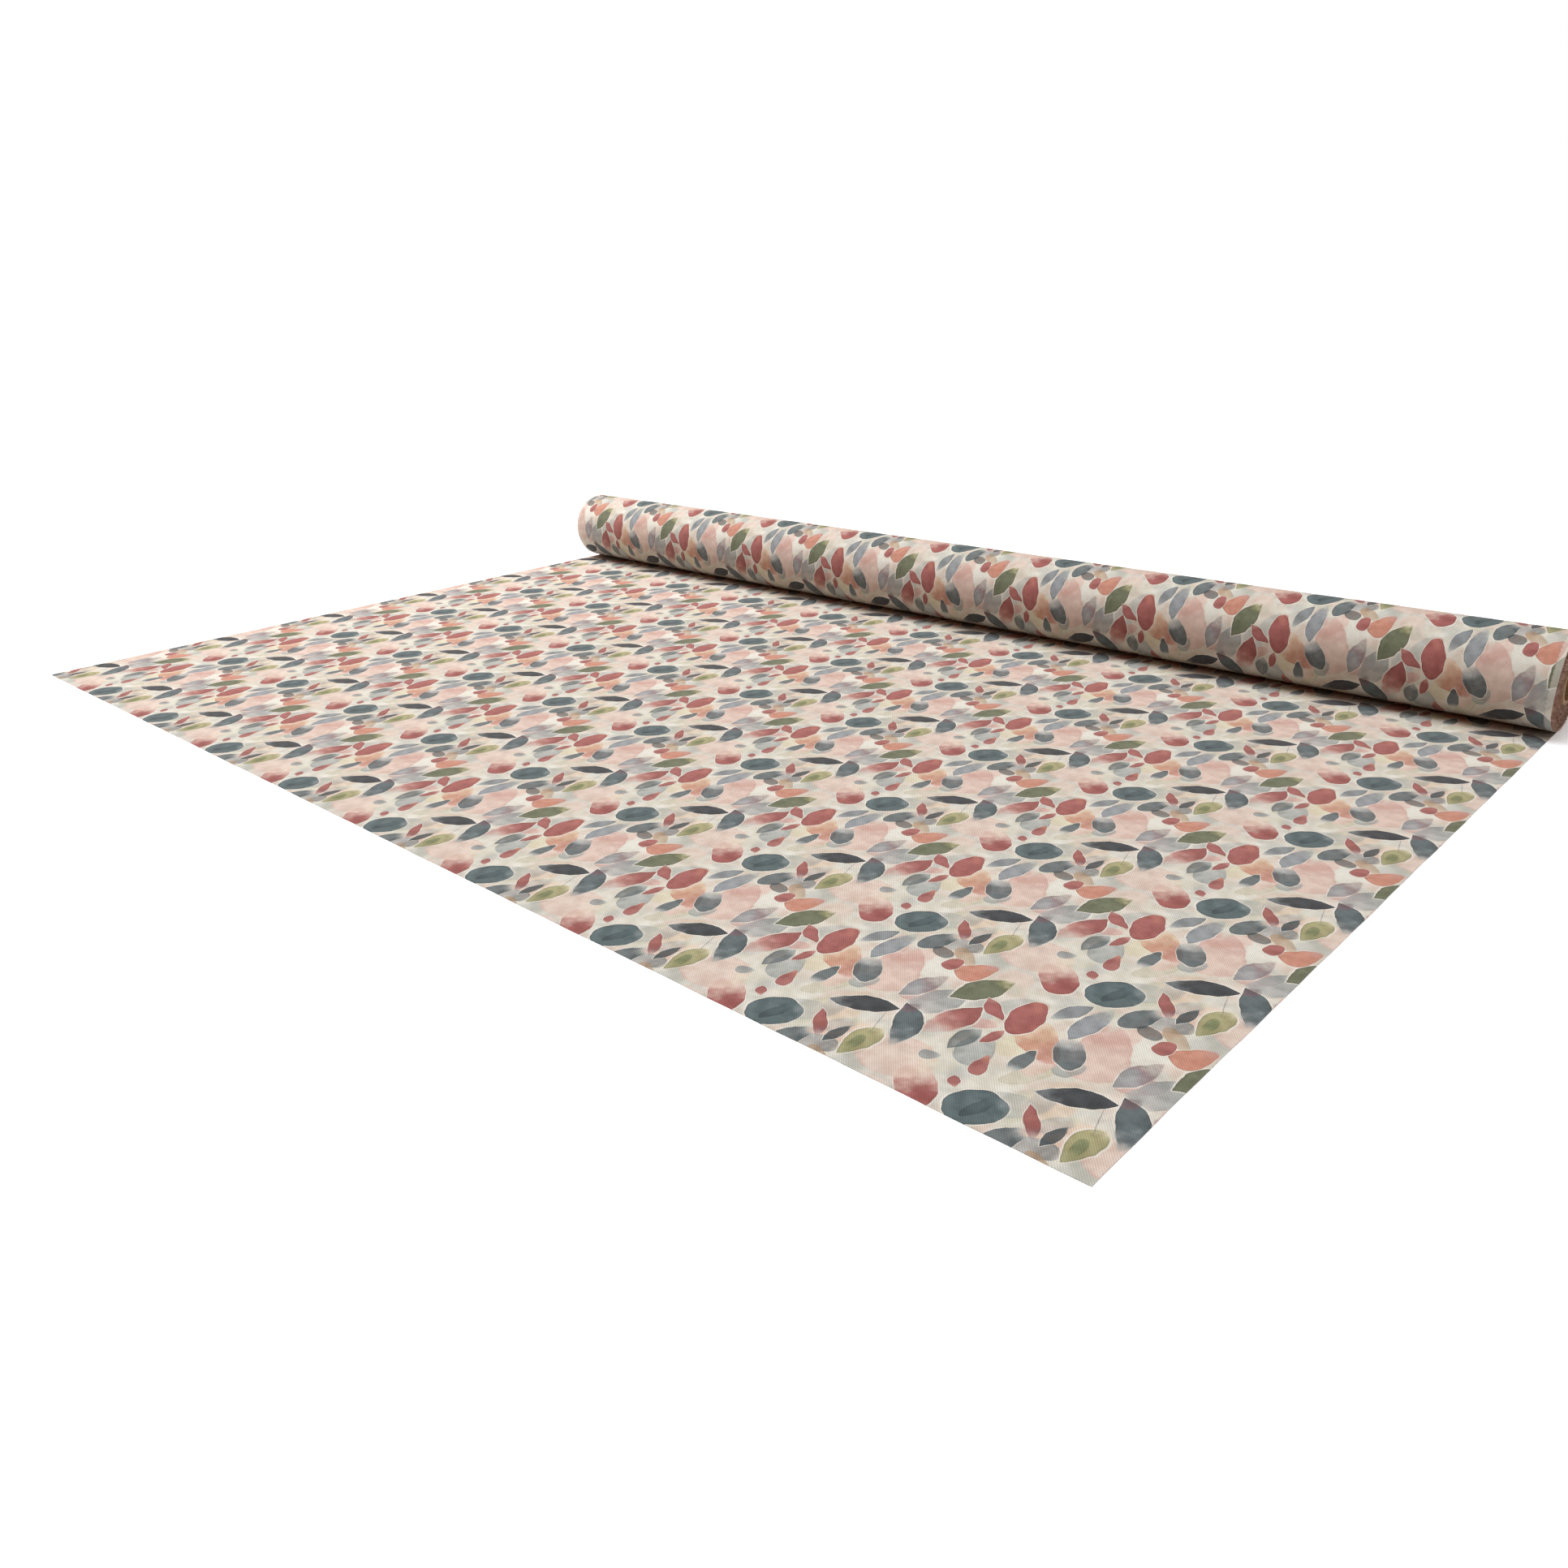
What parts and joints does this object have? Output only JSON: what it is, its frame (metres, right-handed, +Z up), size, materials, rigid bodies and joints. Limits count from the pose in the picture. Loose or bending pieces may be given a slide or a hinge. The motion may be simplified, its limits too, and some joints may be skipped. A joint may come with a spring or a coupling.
{
  "type": "fabric bolt",
  "caption": "Bolt of printed cloth wound on a cardboard tube, with its free end laid out flat in front of the roll.",
  "frame": {"origin": "on the floor under the middle of the whole object's box", "axes": "+X along the roll, towards its right end seen from the laid-out end; -Y towards the laid cloth's cut front edge; +Z up from the floor"},
  "size_m": [1.504, 0.961, 0.1026],
  "materials": {
    "printed_cloth": "matt twill weave, printed",
    "raw_card": "matt kraft card, spiral wound",
    "paper_tape": "creped masking paper"
  },
  "bodies": {
    "laid_cloth": {"laid_sheet": "printed_cloth"},
    "nip": {"lead_off": "printed_cloth"},
    "roll": {"core_inner_ply": "raw_card", "core_middle_ply": "raw_card", "core_outer_ply": "raw_card", "starter_tape_left": "paper_tape", "starter_tape_middle": "paper_tape", "starter_tape_right": "paper_tape", "wound_cloth": "printed_cloth", "outer_turn": "printed_cloth"}
  },
  "joints": [
    {"name": "roll_travel", "type": "slide", "parent": "laid_cloth", "child": "nip", "axis": [0, 1, 0], "range_m": [0, 0.16]},
    {"name": "roll_turn", "type": "hinge", "parent": "nip", "child": "roll", "pos_m": [0, 0.42955, 0.0517], "axis": [-1, 0, 0], "range_deg": [0, 180]}
  ],
  "couplings": [
    {"joint": "roll_travel", "follows": "roll_turn", "m_per_rad": 0.0509}
  ]
}
